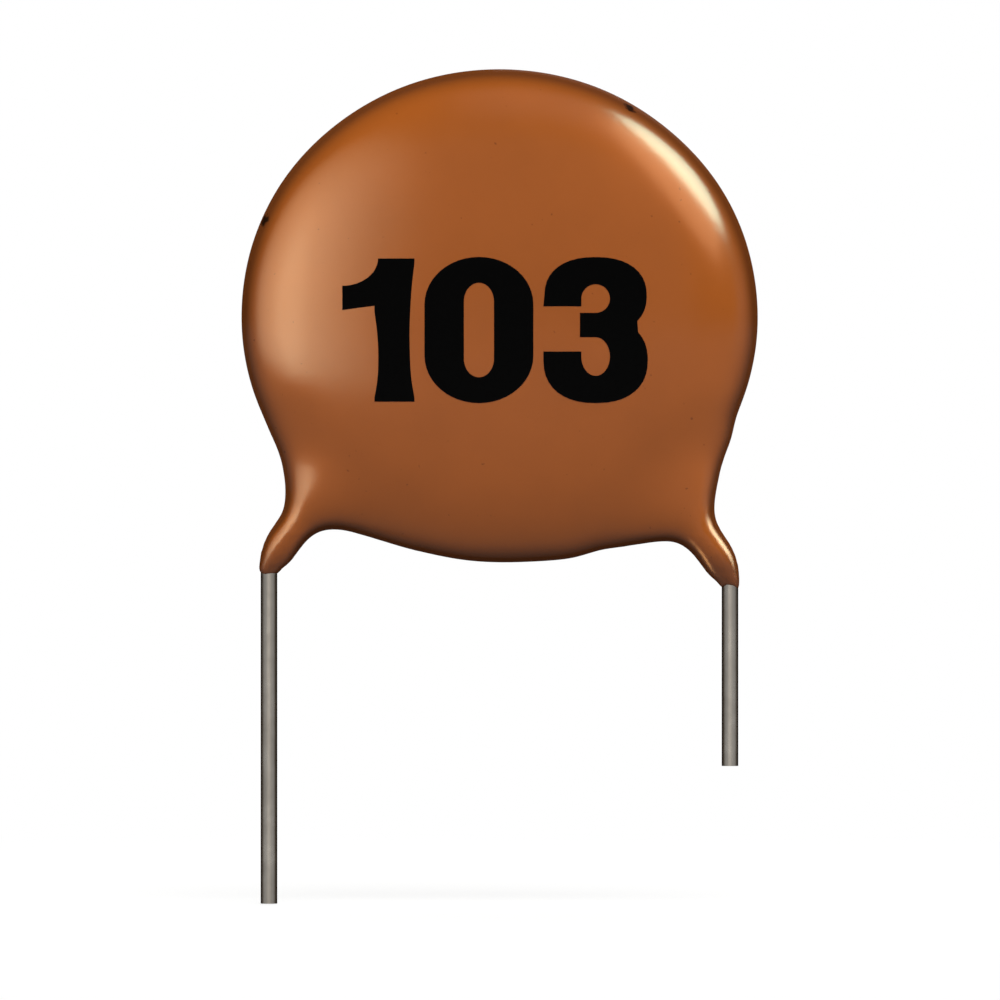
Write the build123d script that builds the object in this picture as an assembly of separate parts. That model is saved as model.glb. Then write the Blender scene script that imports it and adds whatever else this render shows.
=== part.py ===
from build123d import *
import math
import os

# A radial ceramic disc capacitor, in millimetres and degrees.
# X runs along the lead pitch, -Y is the printed front and +Z points away from the board.
# The origin is midway between the leads, on the seating plane at the end of the lower foot.

# Leads
lead_pitch = 12.5
lead_diameter = 0.45
left_lead_drop = 8.5  # from the seating plane to the cut tip
right_lead_drop = 4.77
lead_slope = 38.0  # from upright, where a lead runs up into the body
lead_bend_radius = 0.6  # on the centre line
ramp_length = 1.3  # along the slope, while a lead steps out to its face of the disc
ramp_clearance = 0.3  # between the end of that step and the ceramic's edge

# Ceramic disc and its two silver electrodes
ceramic_diameter = 11.8
ceramic_thickness = 0.5
electrode_thickness = 0.03
electrode_margin = 0.5  # bare ceramic outside the silver

# Solder mounds
solder_length = 4.4
solder_radius = 0.8
solder_film = 0.05  # between the silver and the lead
solder_inset = 0.3  # from the edge of the silver to the mound
lead_past_mound_centre = 1.2

# Dipped coating
side_coat = 1.125  # resin beyond the ceramic's edge, at the widest place
crown_coat = 0.805  # resin beyond the ceramic's edge, at the top and the belly
face_coat = 1.22  # resin over a lead, at the middle of a face
belly_rise = 0.735  # lowest point of the belly above the seating plane
crown_share = 0.62  # how far the nearly flat part of a face reaches towards the edge
edge_share = 0.66  # how blunt the edge is

# Feet, where the resin runs down the leads
left_foot_lift = 0.35  # end of the left foot above the seating plane
right_foot_lift = 0.0
bend_rise = 0.46  # a lead's bend above the end of its foot
foot_film = 0.03  # resin on the lead at the end of the foot
left_outer_spread = 2.0  # growth of a foot from its end to its root, away from the other foot
right_outer_spread = 2.3
inner_spread = 2.9  # growth towards the other foot
depth_spread = 0.8  # growth of a foot's half depth
root_fillet = 2.0  # where a foot runs into the disc

# Shares for each station up a foot, from the lead's bend to the ceramic's edge:
# turn of the section from level to the slope, run, outer spread, inner spread, depth spread
foot_station_shares = (
    (0.5, 0.0, 0.0, 0.08, 0.15),
    (1.0, 0.14, 0.09, 0.08, 0.3),
    (1.0, 0.375, 0.13, 0.09, 0.55),
    (1.0, 0.56, 0.31, 0.25, 0.8),
    (1.0, 0.75, 0.62, 0.62, 1.0),
    (1.0, 1.0, 1.0, 1.0, 0.85),
)

# Worked out from the sizes above
lead_radius = lead_diameter / 2
ceramic_radius = ceramic_diameter / 2
silver_face = ceramic_thickness / 2 + electrode_thickness
lead_offset = silver_face + solder_film + lead_radius
body_width = ceramic_diameter + 2 * side_coat
body_height = ceramic_diameter + 2 * crown_coat
body_thickness = 2 * (lead_offset + lead_radius + face_coat)
disc_centre = Vector(0, 0, belly_rise + body_height / 2)

# Each lead lies on its own face of the disc: -1 is left or front, 1 is right or rear
sides = {
    "left": {
        "x": -1,
        "face": -1,
        "drop": left_lead_drop,
        "lift": left_foot_lift,
        "outer_spread": left_outer_spread,
    },
    "right": {
        "x": 1,
        "face": 1,
        "drop": right_lead_drop,
        "lift": right_foot_lift,
        "outer_spread": right_outer_spread,
    },
}


def along(side, turn=1.0):
    """Direction up a lead, turned by a share of the slope from upright."""
    angle = math.radians(lead_slope * turn)
    return Vector(-side["x"] * math.sin(angle), 0, math.cos(angle))


def bend_point(side):
    """Where a lead's upright part and its sloping part would cross."""
    return Vector(side["x"] * lead_pitch / 2, 0, side["lift"] + bend_rise)


def run_to_ceramic(side):
    """Length of the slope from a lead's bend to the ceramic's edge."""
    to_centre = disc_centre - bend_point(side)
    nearest = to_centre.dot(along(side))
    miss = (to_centre - along(side) * nearest).length
    return nearest - math.sqrt(ceramic_radius**2 - miss**2)


def mound_run(side):
    """Length of the slope from a lead's bend to the middle of its solder mound."""
    return run_to_ceramic(side) + electrode_margin + solder_inset + solder_length / 2


def disc_plane(distance):
    """Plane facing rearwards, this far behind the middle of the ceramic."""
    return Plane(origin=disc_centre + Vector(0, distance, 0), x_dir=(1, 0, 0), z_dir=(0, 1, 0))


def ceramic_disc():
    return extrude(disc_plane(-ceramic_thickness / 2) * Circle(ceramic_radius), ceramic_thickness)


def electrode(side):
    """Silver film on one face of the ceramic."""
    ground = disc_plane(side["face"] * ceramic_thickness / 2)
    film = Circle(ceramic_radius - electrode_margin)
    return extrude(ground * film, side["face"] * electrode_thickness)


def lead(side):
    """Round wire: upright, bent to the slope, stepped out to its face and along the silver."""
    bend = bend_point(side)
    up = along(side)
    out = Vector(0, side["face"] * lead_offset, 0)
    ramp_end = run_to_ceramic(side) - ramp_clearance
    path = FilletPolyline(
        Vector(bend.X, 0, -side["drop"]),
        bend,
        bend + up * (ramp_end - ramp_length),
        bend + up * ramp_end + out,
        bend + up * (mound_run(side) + lead_past_mound_centre) + out,
        radius=lead_bend_radius,
    )
    return sweep(Plane(origin=path @ 0, z_dir=path % 0) * Circle(lead_radius), path=path)


def solder(side, wire):
    """Half of a round-ended mound on the silver, with the lead's bore in it."""
    straight = solder_length / 2 - solder_radius
    top = Line((straight, solder_radius), (-straight, solder_radius))
    ends = [
        CenterArc((straight, 0), solder_radius, 0, 90),
        CenterArc((-straight, 0), solder_radius, 90, 90),
    ]
    half = make_face([*ends, top, Line((-solder_length / 2, 0), (solder_length / 2, 0))])
    seat = bend_point(side) + along(side) * mound_run(side) + Vector(0, side["face"] * silver_face, 0)
    mound = revolve(half, Axis.X, 180)
    return Plane(origin=seat, x_dir=along(side), z_dir=(0, side["face"], 0)) * mound - wire


def lens():
    """Domed disc: a half section turned about Y, then drawn to the body's height."""
    reach = body_width / 2
    dome = body_thickness / 2
    front = Bezier((0, -dome), (crown_share * reach, -dome), (reach, -edge_share * dome), (reach, 0))
    section = make_face([front, mirror(front, Plane.XZ), Line((0, dome), (0, -dome))])
    return Pos(disc_centre) * scale(revolve(section, Axis.Y, 360), by=(1, 1, body_height / body_width))


def foot(side):
    """Trumpet of resin around a lead, from a thin film at its end to a broad root in the disc."""
    bend = bend_point(side)
    film_radius = lead_radius + foot_film
    end = Plane(origin=bend - Vector(0, 0, bend_rise), x_dir=(1, 0, 0), z_dir=(0, 0, 1))
    sections = [end * Circle(film_radius)]
    for turn_share, run_share, outer_share, inner_share, depth_share in foot_station_shares:
        up = along(side, turn_share)
        inward = Vector(0, -side["x"], 0).cross(up)
        outer = film_radius + outer_share * side["outer_spread"]
        inner = film_radius + inner_share * inner_spread
        depth = film_radius + depth_share * depth_spread
        middle = bend + up * (run_share * run_to_ceramic(side)) + inward * ((inner - outer) / 2)
        sections.append(Plane(origin=middle, x_dir=inward, z_dir=up) * Ellipse((inner + outer) / 2, depth))
    return loft(sections)


def coating(inside):
    """Resin body with both feet blended into it, hollowed by everything that it was dipped over."""
    disc = lens()
    feet = [foot(side) for side in sides.values()]
    joined = disc + feet
    blended = fillet(new_edges(disc, *feet, combined=joined), root_fillet)
    return blended - inside


left_lead = lead(sides["left"])
right_lead = lead(sides["right"])
nodes = {
    "left_lead": left_lead,
    "right_lead": right_lead,
    "ceramic_disc": ceramic_disc(),
    "front_electrode": electrode(sides["left"]),
    "rear_electrode": electrode(sides["right"]),
    "front_solder": solder(sides["left"], left_lead),
    "rear_solder": solder(sides["right"], right_lead),
}
nodes["coating"] = coating(list(nodes.values()))

os.makedirs("parts", exist_ok=True)
for name, shape in nodes.items():
    export_step(shape, f"parts/{name}.step")
    print(name, "valid" if shape.is_valid else "not valid", len(shape.solids()), round(shape.volume, 3))
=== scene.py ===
"""Dresses a dipped ceramic disc capacitor.

It makes the resin coating and the stamped number, and finishes the tinned leads and the core inside.
"""

import math

import bmesh
import bpy
import numpy as np
from bpy.props import FloatProperty, FloatVectorProperty, PointerProperty
from bpy.types import Operator, Panel, PropertyGroup
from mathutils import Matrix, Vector, geometry, noise
from mathutils.bvhtree import BVHTree


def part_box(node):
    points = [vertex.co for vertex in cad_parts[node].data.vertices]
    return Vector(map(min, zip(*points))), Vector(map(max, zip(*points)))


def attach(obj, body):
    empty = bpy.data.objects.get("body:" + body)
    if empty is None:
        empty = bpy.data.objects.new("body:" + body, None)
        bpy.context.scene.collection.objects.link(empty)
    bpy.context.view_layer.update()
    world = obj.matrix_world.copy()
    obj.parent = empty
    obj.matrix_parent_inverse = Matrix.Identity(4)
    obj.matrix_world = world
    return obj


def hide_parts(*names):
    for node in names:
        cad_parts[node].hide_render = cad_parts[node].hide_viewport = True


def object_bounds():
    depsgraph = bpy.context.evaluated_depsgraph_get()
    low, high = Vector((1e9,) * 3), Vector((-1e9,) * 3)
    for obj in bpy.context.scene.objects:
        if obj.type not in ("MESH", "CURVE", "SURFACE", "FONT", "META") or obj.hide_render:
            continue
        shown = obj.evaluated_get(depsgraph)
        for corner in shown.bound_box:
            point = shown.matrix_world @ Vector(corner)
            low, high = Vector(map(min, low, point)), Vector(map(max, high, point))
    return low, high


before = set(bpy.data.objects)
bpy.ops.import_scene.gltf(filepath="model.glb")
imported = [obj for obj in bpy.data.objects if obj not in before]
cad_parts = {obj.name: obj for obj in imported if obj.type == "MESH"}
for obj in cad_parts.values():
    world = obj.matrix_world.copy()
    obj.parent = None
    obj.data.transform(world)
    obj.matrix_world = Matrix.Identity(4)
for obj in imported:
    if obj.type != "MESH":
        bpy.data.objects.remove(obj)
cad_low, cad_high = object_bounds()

bl_info = {
    "name": "Ceramic disc capacitor",
    "version": (1, 0, 0),
    "blender": (4, 5, 0),
    "location": "3D View > Sidebar > Capacitor",
    "description": "Dresses a dipped ceramic disc capacitor with round wire leads",
    "category": "Object",
}

MM = 0.001
BODY = "root"
CORE = ("ceramic_disc", "front_electrode", "rear_electrode", "front_solder", "rear_solder")
LEADS = ("left_lead", "right_lead")

# Sockets of a Mix node for colours, whose names also stand for other kinds of value
FACTOR, FIRST, SECOND, MIXED = 0, 6, 7, 2
# A noise texture keeps between these values nearly everywhere
NOISE_LOW, NOISE_HIGH = 0.3, 0.7


def linear(code):
    """Linear colour from an sRGB hex value."""
    parts = [int(code[i : i + 2], 16) / 255 for i in (1, 3, 5)]
    return tuple(c / 12.92 if c <= 0.04045 else ((c + 0.055) / 1.055) ** 2.4 for c in parts)


def opaque(rgb):
    """The colour with nothing let through."""
    return (*rgb, 1.0)


def colour(name, description, code):
    """Colour property with an sRGB hex value for its default."""
    return FloatVectorProperty(
        name=name, description=description, subtype="COLOR", size=3, min=0, max=1, default=linear(code)
    )


def length(name, description, millimetres):
    """Length property with its default in millimetres."""
    return FloatProperty(
        name=name,
        description=description,
        subtype="DISTANCE",
        unit="LENGTH",
        default=millimetres * MM,
        precision=5,
    )


class CoatingSettings(PropertyGroup):
    """Dipped resin coating."""

    facet: length("Facet", "Size of the faces that the coating is made of", 0.085)
    ripple: length("Ripple", "Depth of the waves left where the resin ran", 0.03)
    ripple_width: length("Ripple width", "Distance between the waves", 3.2)
    resin: colour("Resin", "Brown of the resin", "#a9591f")
    resin_deep: colour("Deep resin", "Darker brown where the resin lies thick", "#984f19")
    # Painted shade: a darker brown round the edge of the disc and the feet, where the coating turns away
    # from the front and the back; the ends of the feet also take this brown
    painted_rim_shade: colour("Edge", "Dark brown round the edge of the disc and the feet", "#643415")
    resin_speck: colour("Specks", "Grit in the resin", "#1a0d06")


class CodeSettings(PropertyGroup):
    """Stamped number."""

    height: length("Height", "Height of the digits", 3.86)
    middle_x: length("Middle X", "Middle of the number along the lead pitch", -0.12)
    middle_z: length("Middle Z", "Middle of the number above the seating plane", 7.02)
    gap: length("Gap", "Space between two digits", 0.27)
    film: length("Film", "Thickness of the ink above the resin", 0.008)
    ink: colour("Ink", "Black of the ink", "#030303")


class LeadSettings(PropertyGroup):
    """Tinned wire leads."""

    tin: colour("Tin", "Bright grey of the tin", "#bab5ad")
    tarnish: colour("Tarnish", "Duller grey where the tin has oxidised", "#a6a097")
    # Painted shade: a brown laid down the wire's sides, where they turn away from the front and the back
    side_shade_brown: colour("Stain", "Brown of the flux along the sides", "#463b2e")


class CoreSettings(PropertyGroup):
    """Ceramic disc, silver films and solder inside the coating."""

    ceramic: colour("Ceramic", "Buff of the fired ceramic", "#c9b79b")
    silver: colour("Silver", "White of the fired silver", "#dedbd3")
    solder: colour("Solder", "Grey of the solder", "#c2c2c0")


class StageSettings(PropertyGroup):
    """Floor, background, lights and camera."""

    floor: colour("Floor", "Colour of the floor", "#f2f2f0")
    view_width: length("View width", "Width of the picture at the object", 27.115)
    view_x: length("View X", "Middle of the picture along the lead pitch", 0.014)
    view_z: length("View Z", "Middle of the picture above the seating plane", 2.44)
    view_distance: length("View distance", "From the camera to the object", 300.0)
    level: FloatProperty(
        name="Light level", description="Share of the lights' own radiance", default=1.0, min=0
    )
    room: FloatProperty(name="Room", description="Light level of the dim room", default=0.04, min=0)


def add(tree, kind, inputs=None, **settings):
    """Adds a node with its settings; an input that is a socket is linked."""
    node = tree.nodes.new(kind)
    for name, value in settings.items():
        setattr(node, name, value)
    for name, value in (inputs or {}).items():
        if isinstance(value, bpy.types.NodeSocket):
            tree.links.new(value, node.inputs[name])
        else:
            node.inputs[name].default_value = value
    return node


def new_material(name):
    """Empty material with its node tree and output."""
    material = bpy.data.materials.new(name)
    material.use_nodes = True
    tree = material.node_tree
    tree.nodes.clear()
    return material, tree, add(tree, "ShaderNodeOutputMaterial")


def dipped_resin(look, grit_places):
    """Phenolic resin, dipped and waxed: an opaque brown with a soft gloss, cloudy where it ran.

    Round its edge it is painted darker as shade, it is darker towards the ends of the feet too, and a few
    bits of black grit are caught in it.
    """
    material, tree, output = new_material("Dipped phenolic resin")
    coordinates = add(tree, "ShaderNodeTexCoord").outputs
    place = coordinates["Object"]
    cloud_size, speck_size, peel_size, peel_depth = 2.4 * MM, 0.16 * MM, 0.3 * MM, 0.02 * MM
    # Heights on the feet between which the dark of their ends fades
    end_dark, end_clear = 0.45 * MM, 1.3 * MM
    # How squarely the surface faces the front or the back where the painted shade round its edge is full
    # or gone, and where its wax is thin or full
    rim_shade_full, rim_shade_gone = 0.5, 0.88
    wax_thin, wax_full = 0.45, 0.8
    # The noise shows as specks above these values
    speck_start, speck_full = 0.76, 0.82
    # A bit of grit fades between these shares of its size, and the specks make its outline ragged
    grit_full, grit_gone, grit_ragged = 0.75, 1.05, 0.8
    cloud = add(tree, "ShaderNodeTexNoise", {"Vector": place, "Scale": 1 / cloud_size, "Detail": 4.0})
    speck = add(tree, "ShaderNodeTexNoise", {"Vector": place, "Scale": 1 / speck_size, "Detail": 1.0})
    peel = add(tree, "ShaderNodeTexNoise", {"Vector": place, "Scale": 1 / peel_size, "Detail": 2.0})
    turned = add(tree, "ShaderNodeSeparateXYZ", {"Vector": coordinates["Normal"]}).outputs["Y"]
    facing = add(tree, "ShaderNodeMath", {0: turned}, operation="ABSOLUTE").outputs[0]
    height = add(tree, "ShaderNodeSeparateXYZ", {"Vector": place}).outputs["Z"]
    # Painted shade: the coating turns darker brown round its edge, where it faces away from the front and
    # the back
    edge = add(
        tree,
        "ShaderNodeMapRange",
        {"Value": facing, "From Min": rim_shade_full, "From Max": rim_shade_gone, "To Min": 1.0, "To Max": 0.0},
        interpolation_type="SMOOTHSTEP",
    )
    end = add(
        tree,
        "ShaderNodeMapRange",
        {"Value": height, "From Min": end_dark, "From Max": end_clear, "To Min": 0.8, "To Max": 0.0},
        interpolation_type="SMOOTHSTEP",
    )
    few = add(
        tree,
        "ShaderNodeMapRange",
        {
            "Value": speck.outputs["Fac"],
            "From Min": speck_start,
            "From Max": speck_full,
            "To Min": 0.0,
            "To Max": 0.4,
        },
    )
    # The edge's dark brown is painted shade; the ends of the feet take the same brown
    layers = [(edge, look.painted_rim_shade), (end, look.painted_rim_shade), (few, look.resin_speck)]
    for spot, size in grit_places:
        away = add(tree, "ShaderNodeVectorMath", {0: place, 1: spot}, operation="DISTANCE")
        ragged = add(
            tree,
            "ShaderNodeMath",
            {0: speck.outputs["Fac"], 1: grit_ragged * size, 2: away.outputs["Value"]},
            operation="MULTIPLY_ADD",
        )
        bit = add(
            tree,
            "ShaderNodeMapRange",
            {
                "Value": ragged.outputs[0],
                "From Min": grit_full * size,
                "From Max": grit_gone * size,
                "To Min": 0.95,
                "To Max": 0.0,
            },
        )
        layers.append((bit, look.resin_speck))
    tone = add(
        tree,
        "ShaderNodeMix",
        {FACTOR: cloud.outputs["Fac"], FIRST: opaque(look.resin), SECOND: opaque(look.resin_deep)},
        data_type="RGBA",
    )
    for amount, paint in layers:
        tone = add(
            tree,
            "ShaderNodeMix",
            {FACTOR: amount.outputs["Result"], FIRST: tone.outputs[MIXED], SECOND: opaque(paint)},
            data_type="RGBA",
        )
    relief = add(
        tree, "ShaderNodeBump", {"Height": peel.outputs["Fac"], "Strength": 0.1, "Distance": peel_depth}
    )
    dull = add(
        tree,
        "ShaderNodeMapRange",
        {
            "Value": cloud.outputs["Fac"],
            "From Min": NOISE_LOW,
            "From Max": NOISE_HIGH,
            "To Min": 0.34,
            "To Max": 0.42,
        },
    )
    waxed = add(
        tree,
        "ShaderNodeMapRange",
        {"Value": facing, "From Min": wax_thin, "From Max": wax_full, "To Min": 0.02, "To Max": 0.5},
    )
    # The wax gives the gloss, so the resin under it has none of its own
    shader = add(
        tree,
        "ShaderNodeBsdfPrincipled",
        {
            "Base Color": tone.outputs[MIXED],
            "Roughness": dull.outputs["Result"],
            "IOR": 1.5,
            "Specular IOR Level": 0.0,
            "Coat Weight": waxed.outputs["Result"],
            "Coat Roughness": 0.2,
            "Coat IOR": 1.5,
            "Normal": relief.outputs[0],
            "Coat Normal": relief.outputs[0],
        },
    )
    tree.links.new(shader.outputs[0], output.inputs["Surface"])
    return material


def stamping_ink(look):
    """Pad-printed ink: a dead black film, satin, a little thin in places."""
    material, tree, output = new_material("Pad-printed ink")
    place = add(tree, "ShaderNodeTexCoord").outputs["Object"]
    pad_grain = 0.12 * MM
    grain = add(tree, "ShaderNodeTexNoise", {"Vector": place, "Scale": 1 / pad_grain, "Detail": 2.0})
    dull = add(
        tree,
        "ShaderNodeMapRange",
        {
            "Value": grain.outputs["Fac"],
            "From Min": NOISE_LOW,
            "From Max": NOISE_HIGH,
            "To Min": 0.5,
            "To Max": 0.62,
        },
    )
    shader = add(
        tree,
        "ShaderNodeBsdfPrincipled",
        {
            "Base Color": opaque(look.ink),
            "Roughness": dull.outputs["Result"],
            "IOR": 1.45,
            "Specular IOR Level": 0.04,
        },
    )
    tree.links.new(shader.outputs[0], output.inputs["Surface"])
    return material


def tinned_wire(look):
    """Drawn wire, hot tinned: a grey metal with faint lines along it, and a brown painted shade down its
    sides.
    """
    material, tree, output = new_material("Tinned wire")
    coordinates = add(tree, "ShaderNodeTexCoord").outputs
    place = coordinates["Object"]
    # The die's real lines are a few thousandths of a millimetre wide: these are coarser, so that they show
    line_width, line_length, line_depth = 0.05 * MM, 1.6 * MM, 0.01 * MM
    patch_size = 0.5 * MM
    # How squarely the wire faces the front or the back where the painted shade down its sides is full or
    # gone
    side_shade_full, side_shade_gone = 0.6, 0.88
    lines = add(
        tree,
        "ShaderNodeMapping",
        {"Vector": place, "Scale": (1 / line_width, 1 / line_width, 1 / line_length)},
    )
    drawn = add(tree, "ShaderNodeTexNoise", {"Vector": lines.outputs[0], "Scale": 1.0, "Detail": 2.0})
    patch = add(tree, "ShaderNodeTexNoise", {"Vector": place, "Scale": 1 / patch_size, "Detail": 3.0})
    tone = add(
        tree,
        "ShaderNodeMix",
        {FACTOR: patch.outputs["Fac"], FIRST: opaque(look.tin), SECOND: opaque(look.tarnish)},
        data_type="RGBA",
    )
    turned = add(tree, "ShaderNodeSeparateXYZ", {"Vector": coordinates["Normal"]}).outputs["Y"]
    facing = add(tree, "ShaderNodeMath", {0: turned}, operation="ABSOLUTE").outputs[0]
    # Painted shade: the wire turns brown down its sides, where it faces away from the front and the back
    side_shade = add(
        tree,
        "ShaderNodeMapRange",
        {"Value": facing, "From Min": side_shade_full, "From Max": side_shade_gone, "To Min": 0.95, "To Max": 0.0},
    )
    side_shaded = add(
        tree,
        "ShaderNodeMix",
        {FACTOR: side_shade.outputs["Result"], FIRST: tone.outputs[MIXED], SECOND: opaque(look.side_shade_brown)},
        data_type="RGBA",
    )
    dull = add(
        tree,
        "ShaderNodeMapRange",
        {
            "Value": patch.outputs["Fac"],
            "From Min": NOISE_LOW,
            "From Max": NOISE_HIGH,
            "To Min": 0.24,
            "To Max": 0.4,
        },
    )
    relief = add(
        tree, "ShaderNodeBump", {"Height": drawn.outputs["Fac"], "Strength": 0.25, "Distance": line_depth}
    )
    # The same brown of painted shade also tints the metal's reflection where it is seen at a slant
    shader = add(
        tree,
        "ShaderNodeBsdfPrincipled",
        {
            "Base Color": side_shaded.outputs[MIXED],
            "Metallic": 1.0,
            "Specular Tint": opaque(look.side_shade_brown),
            "Roughness": dull.outputs["Result"],
            "Normal": relief.outputs[0],
        },
    )
    tree.links.new(shader.outputs[0], output.inputs["Surface"])
    return material


def core_material(name, rgb, metallic, rough, grain_size, contrast):
    """Material of a piece inside the coating: one colour, mottled by its own grain."""
    material, tree, output = new_material(name)
    place = add(tree, "ShaderNodeTexCoord").outputs["Object"]
    grain_depth = 0.01 * MM
    grain = add(tree, "ShaderNodeTexNoise", {"Vector": place, "Scale": 1 / grain_size, "Detail": 3.0})
    darker = [c * (1 - contrast) for c in rgb]
    tone = add(
        tree,
        "ShaderNodeMix",
        {FACTOR: grain.outputs["Fac"], FIRST: opaque(rgb), SECOND: opaque(darker)},
        data_type="RGBA",
    )
    relief = add(
        tree, "ShaderNodeBump", {"Height": grain.outputs["Fac"], "Strength": 0.2, "Distance": grain_depth}
    )
    shader = add(
        tree,
        "ShaderNodeBsdfPrincipled",
        {
            "Base Color": tone.outputs[MIXED],
            "Metallic": metallic,
            "Roughness": rough,
            "Normal": relief.outputs[0],
        },
    )
    tree.links.new(shader.outputs[0], output.inputs["Surface"])
    return material


def piece(name, points, faces, material):
    """New piece from points in millimetres, smooth, riding on the body."""
    mesh = bpy.data.meshes.new(name)
    mesh.from_pydata([tuple(p) for p in np.asarray(points, float) * MM], [], [tuple(f) for f in faces])
    mesh.update()
    mesh.shade_smooth()
    mesh.materials.append(material)
    made = bpy.data.objects.new(name, mesh)
    bpy.context.scene.collection.objects.link(made)
    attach(made, BODY)
    return made


def finish_node(name, material):
    """Gives one of the frame's own pieces its material."""
    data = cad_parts[name].data
    data.materials.clear()
    data.materials.append(material)


# The disc's half section, as shares of its reach and its dome
CROWN_SHARE = 0.62
EDGE_SHARE = 0.66


def disc_form():
    """Middle of the disc, and its half width, half thickness and half height, in millimetres."""
    _, high = (np.array(c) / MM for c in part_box("coating"))
    core_low, core_high = (np.array(c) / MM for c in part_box("ceramic_disc"))
    middle = (core_low + core_high) / 2
    return middle, high - middle


def onto_disc(points):
    """The points, moved straight from or to the middle until they lie on the disc's smooth face."""
    middle, half = disc_form()
    steps = 600
    share = np.linspace(0, 1, steps)
    rest = 1 - share
    out = 3 * rest**2 * share * CROWN_SHARE + 3 * rest * share**2 + share**3
    up = rest**3 + 3 * rest**2 * share + 3 * rest * share**2 * EDGE_SHARE
    angle, reach = np.arctan2(up, out)[::-1], np.hypot(up, out)[::-1]
    scaled = (points - middle) / half
    level = np.hypot(scaled[:, 0], scaled[:, 2])
    steep = np.abs(scaled[:, 1])
    grow = np.interp(np.arctan2(steep, level), angle, reach) / np.hypot(level, steep)
    return middle + (points - middle) * grow[:, None]


def outer_skin():
    """The coating without its hollow, in millimetres, closed at the ends of its feet."""
    hollow_gap, weld = 0.02, 0.0005  # millimetres
    inner = []
    for name in (*CORE, *LEADS):
        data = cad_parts[name].data
        corners = [v.co / MM for v in data.vertices]
        inner.append(BVHTree.FromPolygons(corners, [p.vertices for p in data.polygons]))
    skin = bmesh.new()
    skin.from_mesh(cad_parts["coating"].data)
    bmesh.ops.scale(skin, vec=(1 / MM, 1 / MM, 1 / MM), verts=skin.verts)
    bmesh.ops.remove_doubles(skin, verts=skin.verts, dist=weld)
    hidden = []
    for face in skin.faces:
        middle = face.calc_center_median()
        if any(tree.find_nearest(middle, hollow_gap)[0] for tree in inner):
            hidden.append(face)
    bmesh.ops.delete(skin, geom=hidden, context="FACES")
    bmesh.ops.holes_fill(skin, edges=[e for e in skin.edges if e.is_boundary], sides=0)
    mesh = bpy.data.meshes.new("coating_rough")
    skin.to_mesh(mesh)
    skin.free()
    return mesh


def even_faces(mesh, size):
    """Points, faces and edges of nearly one size over the same form, in millimetres."""
    holder = bpy.data.objects.new("coating_even", mesh)
    bpy.context.scene.collection.objects.link(holder)
    remesh = holder.modifiers.new("even faces", "REMESH")
    remesh.mode = "VOXEL"
    remesh.voxel_size = size
    made = bpy.data.meshes.new_from_object(holder.evaluated_get(bpy.context.evaluated_depsgraph_get()))
    bpy.data.objects.remove(holder)
    bpy.data.meshes.remove(mesh)
    points = np.array([v.co for v in made.vertices])
    faces = [tuple(p.vertices) for p in made.polygons]
    edges = np.array([e.vertices for e in made.edges])
    bpy.data.meshes.remove(made)
    return points, faces, edges


def spread(values, edges, rounds, share=0.5):
    """Values on the points, each moved towards its neighbours' mean by a share, a number of times."""
    ends = np.concatenate([edges[:, 0], edges[:, 1]])
    others = np.concatenate([edges[:, 1], edges[:, 0]])
    columns = values.reshape(len(values), -1)
    shares = np.reshape(share, (-1, 1))
    count = np.bincount(ends, minlength=len(columns)).clip(1)[:, None]
    for _ in range(rounds):
        sums = [np.bincount(ends, c[others], len(columns)) for c in columns.T]
        columns = columns + shares * (np.column_stack(sums) / count - columns)
    return columns.reshape(values.shape)


def relaxed(points, edges, rounds):
    """The points with their steps smoothed away, without shrinking."""
    shrink, grow = 0.5, -0.515
    for _ in range(rounds):
        points = spread(points, edges, 1, shrink)
        points = spread(points, edges, 1, grow)
    return points


def smoothstep(low, high, value):
    """0 up to the low value, 1 from the high one, and a smooth rise between them."""
    share = np.clip((value - low) / (high - low), 0, 1)
    return share * share * (3 - 2 * share)


def near_roots(points):
    """How far each point belongs to the roots of the feet, from 0 to 1."""
    middle, half = disc_form()
    across, _, up = ((points - middle) / half).T
    from_middle = np.hypot(across, up)
    bearing = np.degrees(np.arctan2(np.abs(across), -up))
    root_bearing, full_turn, no_turn = 43, 17, 32  # degrees from straight down
    rise_start, rise_end, fall_start, fall_end = 0.7, 0.84, 1.0, 1.2  # shares of the disc's reach
    around = 1 - smoothstep(full_turn, no_turn, np.abs(bearing - root_bearing))
    outwards = smoothstep(rise_start, rise_end, from_middle)
    return around * outwards * (1 - smoothstep(fall_start, fall_end, from_middle))


def smooth_form(points, edges):
    """The points without steps and with eased roots, and how far each lies on the plain disc."""
    step_rounds, depth_rounds, root_rounds, share_rounds = 24, 220, 60, 80
    half_way = 0.5
    on_disc, off_disc = 0.03, 0.12  # millimetres from the disc's smooth face
    points = relaxed(points, edges, step_rounds)
    root = near_roots(points)
    points[:, 1] = spread(points[:, 1], edges, depth_rounds, half_way * root)
    points = spread(points, edges, root_rounds, half_way * root)
    disc = onto_disc(points)
    off = np.linalg.norm(points - disc, axis=1)
    share = spread((1 - smoothstep(on_disc, off_disc, off)) * (1 - root), edges, share_rounds)
    return points + (disc - points) * share[:, None], share


def sunk_by_waves(points, share, look):
    """How far the waves of the resin carry each point of the plain disc inwards."""
    mean, swing, steepness = 0.6, 0.4, 1.6
    middle, half = disc_form()
    inward = middle - points
    inward *= np.array([1, half[0] / half[1], 1])
    inward /= np.linalg.norm(inward, axis=1)[:, None]
    wave = [noise.noise(Vector(p) * (MM / look.ripple_width)) for p in points]
    sink = look.ripple / MM * (mean + swing * np.clip(np.array(wave) * steepness, -1, 1))
    return inward * (sink * share)[:, None]


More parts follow.
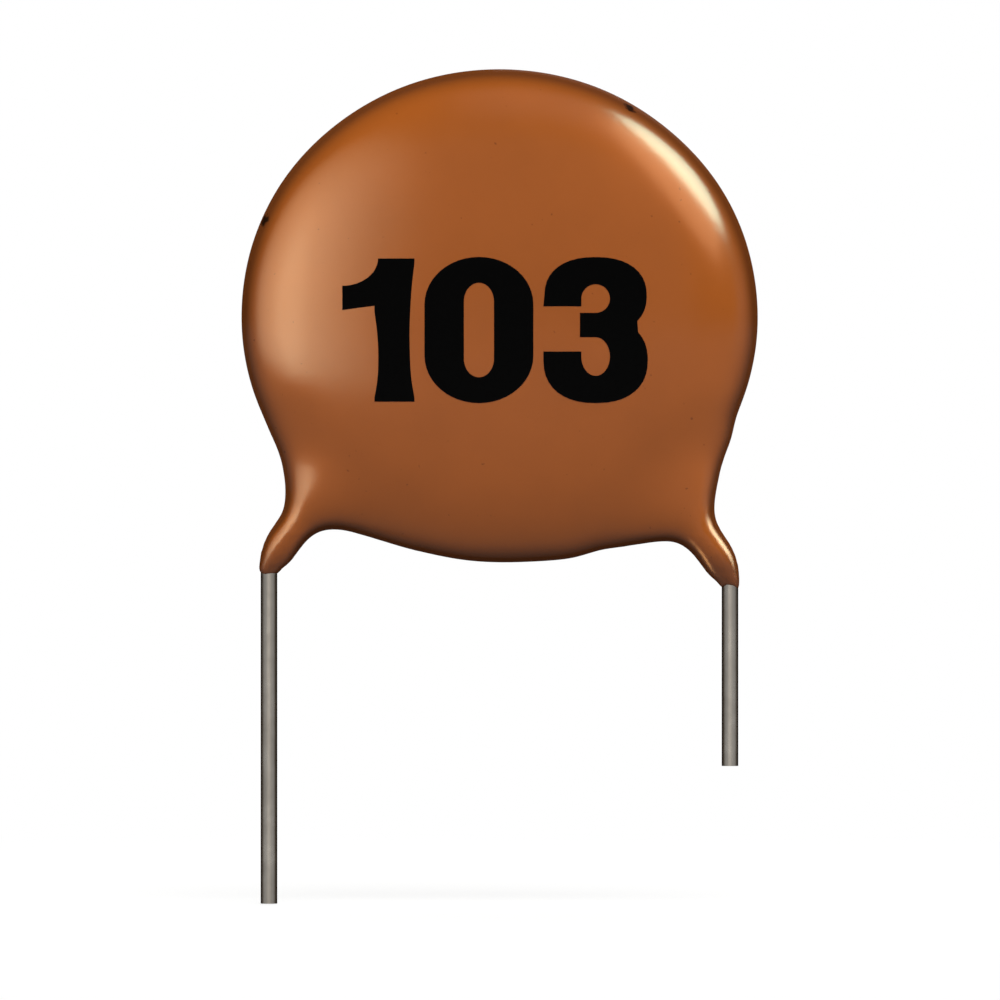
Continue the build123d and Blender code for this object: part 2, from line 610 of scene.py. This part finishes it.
# Where the resin ran thicker round the edge: X, Z, how far out along X and Z, and reach, in millimetres
RUNS = (
    (6.2, 4.0, 0.2, 0.0, 0.6),
    (5.9, 3.0, 0.08, 0.0, 0.9),
    (2.5, 1.1, 0.0, -0.18, 1.4),
    (4.2, 1.4, 0.0, -0.06, 0.7),
    (-3.0, 1.3, 0.0, -0.12, 0.8),
    (-6.1, 4.1, -0.08, 0.0, 0.6),
)


def carried_by_runs(points):
    """How far the runs of resin carry each point."""
    carry = np.zeros_like(points)
    for x, z, out_x, out_z, reach in RUNS:
        near = np.exp(-((points[:, 0] - x) ** 2 + (points[:, 2] - z) ** 2) / reach**2)
        carry += near[:, None] * np.array([out_x, 0, out_z])
    return carry


def uneven_ends(points):
    """How far each point of a foot's end draws back up the lead."""
    draw_back, reach, wave = 0.16, 0.4, 0.3
    rise = np.zeros(len(points))
    for side in (-1, 1):
        here = points[:, 0] * side > 0
        above = points[:, 2] - points[here, 2].min()
        near = here & (above < reach)
        back = [0.5 + 0.5 * noise.noise(Vector((p[0] / wave, p[1] / wave, side))) for p in points[near]]
        rise[near] = draw_back * np.array(back) * (1 - smoothstep(0, reach, above[near]))
    return rise


# Bits of grit on the front: X, Z and size in millimetres
GRIT = ((-6.36, 10.0, 0.34), (6.58, 5.15, 0.18), (3.54, 13.08, 0.3))


def grit_on(points):
    """Place of each bit of grit on the front of the coating, and its size, in metres."""
    front = points[points[:, 1] < 0]
    places = []
    for x, z, size in GRIT:
        nearest = np.argmin(np.hypot(front[:, 0] - x, front[:, 2] - z))
        places.append((tuple(front[nearest] * MM), size * MM))
    return places


class CAPACITOR_OT_coating(Operator):
    """Makes the dipped coating from the frame's coating, with the waves of the resin"""

    bl_idname = "capacitor.coating"
    bl_label = "Dip the coating"

    def execute(self, context):
        look = context.scene.capacitor_coating
        fewest_faces = 1000
        points, faces, edges = even_faces(outer_skin(), look.facet / MM)
        if len(faces) < fewest_faces:
            raise RuntimeError("the coating came out with too few faces")
        points, share = smooth_form(points, edges)
        points += sunk_by_waves(points, share, look)
        points += carried_by_runs(points)
        points[:, 2] += uneven_ends(points)
        made = piece("coating_skin", points, faces, dipped_resin(look, grit_on(points)))
        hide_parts("coating")
        return {"FINISHED"}


def arc(cx, cz, rx, rz, start, end, square=2.0, steps=24):
    """Points on an oval's edge from one angle to another, in degrees; above 2 the oval is squarer."""
    points = []
    for i in range(steps + 1):
        a = math.radians(start + (end - start) * i / steps)
        c, s = math.cos(a), math.sin(a)
        x = cx + rx * math.copysign(abs(c) ** (2 / square), c)
        z = cz + rz * math.copysign(abs(s) ** (2 / square), s)
        points.append((x, z))
    return points


def digit_one():
    """Outline of a bold 1 of height 2, about the middle of its height."""
    stem_left, stem_right = -0.18, 0.38
    flag, flag_reach, brow, notch, notch_rise = -0.63, 0.5, 0.62, 0.28, 0.06
    flag_curve = arc(flag, 1.0, flag_reach, 1.0 - brow, 0, -90, steps=12)
    outline = [
        (stem_right, -1),
        (stem_right, 1),
        *flag_curve,
        (flag, notch),
        (stem_left, notch + notch_rise),
        (stem_left, -1),
    ]
    return [outline]


def digit_nought():
    """Outlines of a bold 0, a little over height 2 as round digits are: its edge and its eye."""
    side, eye, bow, eye_bow, top, eye_top = 0.76, 0.21, 0.66, 0.26, 1.02, 0.66
    edge = [
        *arc(0, top - bow, side, bow, 180, 0),
        *arc(0, bow - top, side, bow, 0, -180),
    ]
    hole = [
        *arc(0, eye_top - eye_bow, eye, eye_bow, 180, 0),
        *arc(0, eye_bow - eye_top, eye, eye_bow, 0, -180),
    ]
    return [edge, hole]


def digit_three():
    """Outline of a bold 3, a little over height 2 as round digits are."""
    side, eye = 0.73, 0.2
    upper_side = 0.98 * side
    upper, lower, upper_bow, lower_bow = 0.48, -0.42, 0.54, 0.6
    upper_eye, lower_eye, upper_eye_bow, lower_eye_bow = 0.44, -0.37, 0.2, 0.27
    cut_up, cut_down, arm = 0.33, -0.3, -0.22
    waist, square = 38, 2.3
    outline = [
        (-side, cut_up),
        *arc(0, upper, upper_side, upper_bow, 180, -waist, square),
        *arc(0, lower, side, lower_bow, waist, -180, square),
        (-side, cut_down),
        (-eye, cut_down),
        *arc(0, lower_eye, eye, lower_eye_bow, -180, 90),
        (arm, lower_eye + lower_eye_bow),
        (arm, upper_eye - upper_eye_bow),
        *arc(0, upper_eye, eye, upper_eye_bow, -90, 180),
        (-eye, cut_up),
    ]
    return [outline]


def inside(loops, points):
    """Which points are inside the outlines, an even number of crossings being outside."""
    hit = np.zeros(len(points), bool)
    for loop in loops:
        ends = np.array(loop)
        for (ax, az), (bx, bz) in zip(ends, np.roll(ends, -1, axis=0)):
            spans = (az > points[:, 1]) != (bz > points[:, 1])
            if az != bz:
                hit ^= spans & (points[:, 0] < (bx - ax) * (points[:, 1] - az) / (bz - az) + ax)
    return hit


def flat_faces(loops, spacing):
    """Points and triangles that fill the outlines evenly."""
    same_point, same_corner, border_share = 1e-4, 1e-5, 0.5
    corners, sides = [], []
    for loop in loops:
        clean = [p for p, q in zip(loop, loop[1:] + loop[:1]) if math.dist(p, q) > same_point]
        first = len(corners)
        corners += clean
        sides += [(first + i, first + (i + 1) % len(clean)) for i in range(len(clean))]
    border = np.array(corners)
    low, high = border.min(axis=0), border.max(axis=0)
    columns, rows = (np.arange(a, b, spacing) for a, b in zip(low, high))
    grid = np.array([(x, z) for x in columns for z in rows])
    grid = grid[inside(loops, grid)]
    clear = np.array([np.min(np.hypot(*(border - g).T)) > spacing * border_share for g in grid])
    everything = [Vector(p) for p in corners] + [Vector(p) for p in grid[clear]]
    inside_with_holes = 1
    points, _, faces, *_ = geometry.delaunay_2d_cdt(everything, sides, [], inside_with_holes, same_corner)
    points = np.array(points)
    middles = np.array([points[list(f)].mean(axis=0) for f in faces])
    keep = inside(loops, middles)
    return points, [tuple(f) for f, k in zip(faces, keep) if k]


def skin_front(points, skin):
    """Y of the coating's front at each point in X and Z, in millimetres."""
    tree = BVHTree.FromObject(skin, bpy.context.evaluated_depsgraph_get())
    clear = 1 * MM
    start = cad_low.y - clear
    heights = []
    for x, z in points:
        hit = tree.ray_cast(Vector((x * MM, start, z * MM)), Vector((0, 1, 0)))[0]
        if hit is None:
            raise RuntimeError("a digit runs off the coating")
        heights.append(hit.y / MM)
    return heights


def ink_film(points, faces, skin, film, sunk):
    """Thin closed film on the coating's front, over a flat shape in X and Z."""
    tops, bottoms = [], []
    for (x, z), y in zip(points, skin_front(points, skin)):
        tops.append((x, y - film, z))
        bottoms.append((x, y + sunk, z))
    count = len(points)
    # A side that only one face has lies on the rim
    rims = {}
    for f in faces:
        for a, b in zip(f, f[1:] + f[:1]):
            rims[(a, b)] = (b, a) not in rims
            if not rims[(a, b)]:
                rims[(b, a)] = False
    walls = [(b, a, a + count, b + count) for (a, b), rim in rims.items() if rim]
    return tops + bottoms, [*faces, *[tuple(i + count for i in f[::-1]) for f in faces], *walls]


class CAPACITOR_OT_code(Operator):
    """Stamps a plain number on the front of the coating"""

    bl_idname = "capacitor.code"
    bl_label = "Stamp the number"

    def execute(self, context):
        look = context.scene.capacitor_code
        spacing, sunk, sharp_angle = 0.2, 0.02, math.radians(45)
        skin = bpy.data.objects["coating_skin"]
        material = stamping_ink(look)
        half, gap, middle_z = look.height / MM / 2, look.gap / MM, look.middle_z / MM
        digits = [digit_one(), digit_nought(), digit_three()]
        spans = [(min(p[0] for p in d[0]), max(p[0] for p in d[0])) for d in digits]
        total = sum(b - a for a, b in spans) * half + gap * (len(digits) - 1)
        left = look.middle_x / MM - total / 2
        for number, (loops, (low, high)) in enumerate(zip(digits, spans), 1):
            placed = [[(left + (x - low) * half, middle_z + z * half) for x, z in loop] for loop in loops]
            points, faces = flat_faces(placed, spacing)
            film = ink_film(points, faces, skin, look.film / MM, sunk)
            made = piece(f"ink_digit_{number}", *film, material)
            made.data.set_sharp_from_angle(angle=sharp_angle)
            left += (high - low) * half + gap
        return {"FINISHED"}


class CAPACITOR_OT_leads(Operator):
    """Gives the wire leads their tin"""

    bl_idname = "capacitor.leads"
    bl_label = "Tin the leads"

    def execute(self, context):
        material = tinned_wire(context.scene.capacitor_leads)
        for name in LEADS:
            finish_node(name, material)
        return {"FINISHED"}


class CAPACITOR_OT_core(Operator):
    """Finishes the ceramic disc, its silver films and the solder inside the coating"""

    bl_idname = "capacitor.core"
    bl_label = "Finish the core"

    def execute(self, context):
        look = context.scene.capacitor_core
        # A matt buff body, a frosted white metal and a smooth grey one.
        # Their real grain is too fine to show, so it is drawn coarser.
        ceramic = core_material(
            "Fired ceramic", look.ceramic, metallic=0.0, rough=0.7, grain_size=0.12 * MM, contrast=0.15
        )
        silver = core_material(
            "Fired silver", look.silver, metallic=1.0, rough=0.45, grain_size=0.06 * MM, contrast=0.12
        )
        solder = core_material(
            "Soft solder", look.solder, metallic=1.0, rough=0.28, grain_size=0.4 * MM, contrast=0.2
        )
        for name, material in zip(CORE, (ceramic, silver, silver, solder, solder)):
            finish_node(name, material)
        return {"FINISHED"}


def background(name, rgb, near_share):
    """Matt pale surface that the camera, and what reflects or passes light, sees as lit by itself.

    Near the object that is only a share of it, so that the shadow stays. It throws little light back.
    """
    material, tree, output = new_material(name)
    near, far, bounce = 15 * MM, 60 * MM, 0.2
    ray = add(tree, "ShaderNodeLightPath").outputs
    place = add(tree, "ShaderNodeTexCoord").outputs["Object"]
    away = add(tree, "ShaderNodeVectorMath", {0: place}, operation="LENGTH").outputs["Value"]
    share = add(
        tree,
        "ShaderNodeMapRange",
        {"Value": away, "From Min": near, "From Max": far, "To Min": near_share, "To Max": 1.0},
    ).outputs["Result"]
    seen = ray["Is Camera Ray"]
    for other, operation in (
        (ray["Is Glossy Ray"], "MAXIMUM"),
        (ray["Is Transmission Ray"], "MAXIMUM"),
        (share, "MULTIPLY"),
    ):
        seen = add(tree, "ShaderNodeMath", {0: seen, 1: other}, operation=operation).outputs[0]
    shade = add(
        tree,
        "ShaderNodeMix",
        {FACTOR: ray["Is Camera Ray"], FIRST: opaque((bounce, bounce, bounce)), SECOND: opaque(rgb)},
        data_type="RGBA",
    )
    matt = add(tree, "ShaderNodeBsdfDiffuse", {"Color": shade.outputs[MIXED]})
    glow = add(tree, "ShaderNodeEmission", {"Color": (1, 1, 1, 1), "Strength": 1.0})
    both = add(tree, "ShaderNodeMixShader", {0: seen, 1: matt.outputs[0], 2: glow.outputs[0]})
    tree.links.new(both.outputs[0], output.inputs["Surface"])
    return material


def stage_sheet(name, corners, material):
    """Flat sheet that belongs to the stage."""
    mesh = bpy.data.meshes.new(name)
    mesh.from_pydata(corners, [], [tuple(range(len(corners)))])
    mesh.materials.append(material)
    made = bpy.data.objects.new(name, mesh)
    bpy.context.scene.collection.objects.link(made)


def set_sheets(look):
    """Floor just under the longer lead, and a white card behind the part."""
    gap, floor_reach, floor_near_share = 0.02 * MM, 0.8, 0.8
    card_y, card_reach, card_near_share = 0.4, 0.12, 1.0
    ground = cad_low.z - gap
    square = ((-1, -1), (1, -1), (1, 1), (-1, 1))
    stage_sheet(
        "floor",
        [(x * floor_reach, y * floor_reach, ground) for x, y in square],
        background("Pale floor", look.floor, floor_near_share),
    )
    stage_sheet(
        "backdrop",
        [(x * card_reach, card_y, card_reach if up > 0 else ground) for x, up in square],
        background("White card", look.floor, card_near_share),
    )


# Lights turned to the disc: name, bearings to the right of the camera and upwards in degrees,
# distance, width and height in metres, radiance, tint and kind
LIGHTS = (
    ("right side", 88, -3, 0.35, 0.2, 0.2, 7.7, "#ffffff", "matt"),
    ("top", 14, 60, 0.35, 0.2, 0.2, 7.7, "#ffffff", "matt"),
    ("front", 0, 6, 0.36, 0.5, 0.5, 1.3, "#ffffff", "matt"),
    ("left side", -82, 0, 0.35, 0.2, 0.2, 5.6, "#ffffff", "matt"),
    ("panel", 0, 0, 0.36, 0.5, 0.5, 0.36, "#fff6e8", "gloss"),
    ("strip", 71.7, 41, 0.35, 0.17, 0.23, 27.0, "#d8ffe0", "glow"),
    ("strip glow", 52, 34, 0.36, 0.2, 0.26, 9.0, "#ffc894", "glow"),
    ("front of the leads", -4, 4, 0.3, 0.2, 0.2, 0.5, "#fff8f0", "tin"),
    ("back", 180, 40, 0.36, 0.5, 0.4, 2.2, "#ffffff", "matt"),
    ("back panel", 165, 30, 0.3, 0.14, 0.14, 6.0, "#ffffff", "gloss"),
)

# Small lights close to the right foot: name, the point they are turned to in millimetres,
# bearings as above, distance and size in metres, radiance and tint
FOOT_LIGHTS = (
    ("foot streak", (6.4, -0.3, 0.75), 90, 24, 0.006, 0.006, 2.3, "#fffcd0"),
    ("foot inner streak", (5.75, -0.4, 0.65), -82, -38, 0.004, 0.002, 1.3, "#ffc27c"),
)
FOOT_BEAM = 44  # degrees


# A window's first and last light, with bearings and lengths as above, and the power by which they grow
FIRST_RING = (-46, 3, 0.07, 0.018, 0.035)
LAST_RING = (-49, 5, 0.08, 0.118, 0.145)
RING_GROWTH = (1, 1, 1, 1.5, 1.5)


def window_rings():
    """A window on the left, as round lights one inside another, so that its edge is soft."""
    rings, radiance, tint = 8, 1.45, "#fff8d0"
    for ring in range(rings):
        grown = ring / (rings - 1)
        spans = zip(FIRST_RING, LAST_RING, RING_GROWTH)
        where = [first + (last - first) * grown**power for first, last, power in spans]
        yield f"window {ring}", *where, radiance, tint, "glow"


def softbox(name, side, rise, distance, width, height, radiance, tint, kind, target):
    """Light turned to a target: side and rise are its bearings there, to the right of the camera and up.

    Its power follows from its size and radiance. A matt light makes no highlight, and the others
    nothing else. A glow is round.
    """
    light = bpy.data.lights.new(name, "AREA")
    light.shape = "ELLIPSE" if kind == "glow" else "RECTANGLE"
    light.size = width
    light.size_y = height
    light.energy = radiance * math.pi * width * height
    light.color = linear(tint)
    made = bpy.data.objects.new(name, light)
    turn, lift = math.radians(side), math.radians(rise)
    way = Vector((math.sin(turn) * math.cos(lift), -math.cos(turn) * math.cos(lift), math.sin(lift)))
    made.location = target + way * distance
    made.rotation_euler = way.to_track_quat("Z", "Y").to_euler()
    made.visible_glossy = kind != "matt"
    made.visible_diffuse = kind == "matt"
    bpy.context.scene.collection.objects.link(made)
    return made


def set_lights(look):
    """Studio lights: a glow falls on the coating alone, and a tin light on the leads alone."""
    lit_alone = {"glow": [bpy.data.objects["coating_skin"]], "tin": [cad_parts[n] for n in LEADS]}
    receivers = {}
    for kind, pieces in lit_alone.items():
        receivers[kind] = bpy.data.collections.new(f"lit by {kind}")
        for lit in pieces:
            receivers[kind].objects.link(lit)
    disc = Vector(disc_form()[0]) * MM
    for name, *where, radiance, tint, kind in (*LIGHTS, *window_rings()):
        made = softbox(name, *where, radiance * look.level, tint, kind, disc)
        if kind in receivers:
            made.light_linking.receiver_collection = receivers[kind]
    for name, place, *where, size, radiance, tint in FOOT_LIGHTS:
        foot = Vector(place) * MM
        made = softbox(name, *where, size, size, radiance * look.level, tint, "glow", foot)
        made.data.spread = math.radians(FOOT_BEAM)
        made.light_linking.receiver_collection = receivers["glow"]


def set_room(scene, look):
    """Dim white room around the stage."""
    world = bpy.data.worlds.new("Room")
    scene.world = world
    world.use_nodes = True
    room = world.node_tree.nodes["Background"].inputs
    room["Color"].default_value = (1, 1, 1, 1)
    room["Strength"].default_value = look.room


def set_camera(scene, look):
    """Camera straight in front of the printed face."""
    clip_share, clip_end = 0.01, 10
    camera = bpy.data.cameras.new("camera")
    camera.lens = camera.sensor_width * look.view_distance / look.view_width
    camera.clip_start = look.view_distance * clip_share
    camera.clip_end = clip_end
    made = bpy.data.objects.new("camera", camera)
    made.location = (look.view_x, -look.view_distance, look.view_z)
    made.rotation_euler = (math.radians(90), 0, 0)
    scene.collection.objects.link(made)
    scene.camera = made


class CAPACITOR_OT_stage(Operator):
    """Sets the floor, background, lights and camera"""

    bl_idname = "capacitor.stage"
    bl_label = "Set the stage"

    def execute(self, context):
        scene = context.scene
        look = scene.capacitor_stage
        scene.view_settings.view_transform = "Standard"
        set_sheets(look)
        set_lights(look)
        set_room(scene, look)
        set_camera(scene, look)
        return {"FINISHED"}


class CAPACITOR_PT_pieces(Panel):
    """Lists the capacitor's steps with their settings."""

    bl_idname = "CAPACITOR_PT_pieces"
    bl_label = "Disc capacitor"
    bl_space_type = "VIEW_3D"
    bl_region_type = "UI"
    bl_category = "Capacitor"

    def draw(self, context):
        for operator in OPERATORS:
            self.layout.operator(operator.bl_idname)
        for name in SETTINGS:
            group = getattr(context.scene, name)
            box = self.layout.box()
            for key in group.bl_rna.properties.keys():
                if key not in ("name", "rna_type"):
                    box.prop(group, key)


SETTINGS = {
    "capacitor_coating": CoatingSettings,
    "capacitor_code": CodeSettings,
    "capacitor_leads": LeadSettings,
    "capacitor_core": CoreSettings,
    "capacitor_stage": StageSettings,
}
OPERATORS = (
    CAPACITOR_OT_coating,
    CAPACITOR_OT_code,
    CAPACITOR_OT_leads,
    CAPACITOR_OT_core,
    CAPACITOR_OT_stage,
)


def register():
    for kind in (*SETTINGS.values(), *OPERATORS, CAPACITOR_PT_pieces):
        bpy.utils.register_class(kind)
    for name, kind in SETTINGS.items():
        setattr(bpy.types.Scene, name, PointerProperty(type=kind))


def unregister():
    for name in SETTINGS:
        delattr(bpy.types.Scene, name)
    for kind in (CAPACITOR_PT_pieces, *reversed(OPERATORS), *reversed(SETTINGS.values())):
        bpy.utils.unregister_class(kind)


def main():
    register()
    bpy.ops.capacitor.coating()
    bpy.ops.capacitor.code()
    bpy.ops.capacitor.leads()
    bpy.ops.capacitor.core()
    bpy.ops.capacitor.stage()


if __name__ == "__main__":
    main()
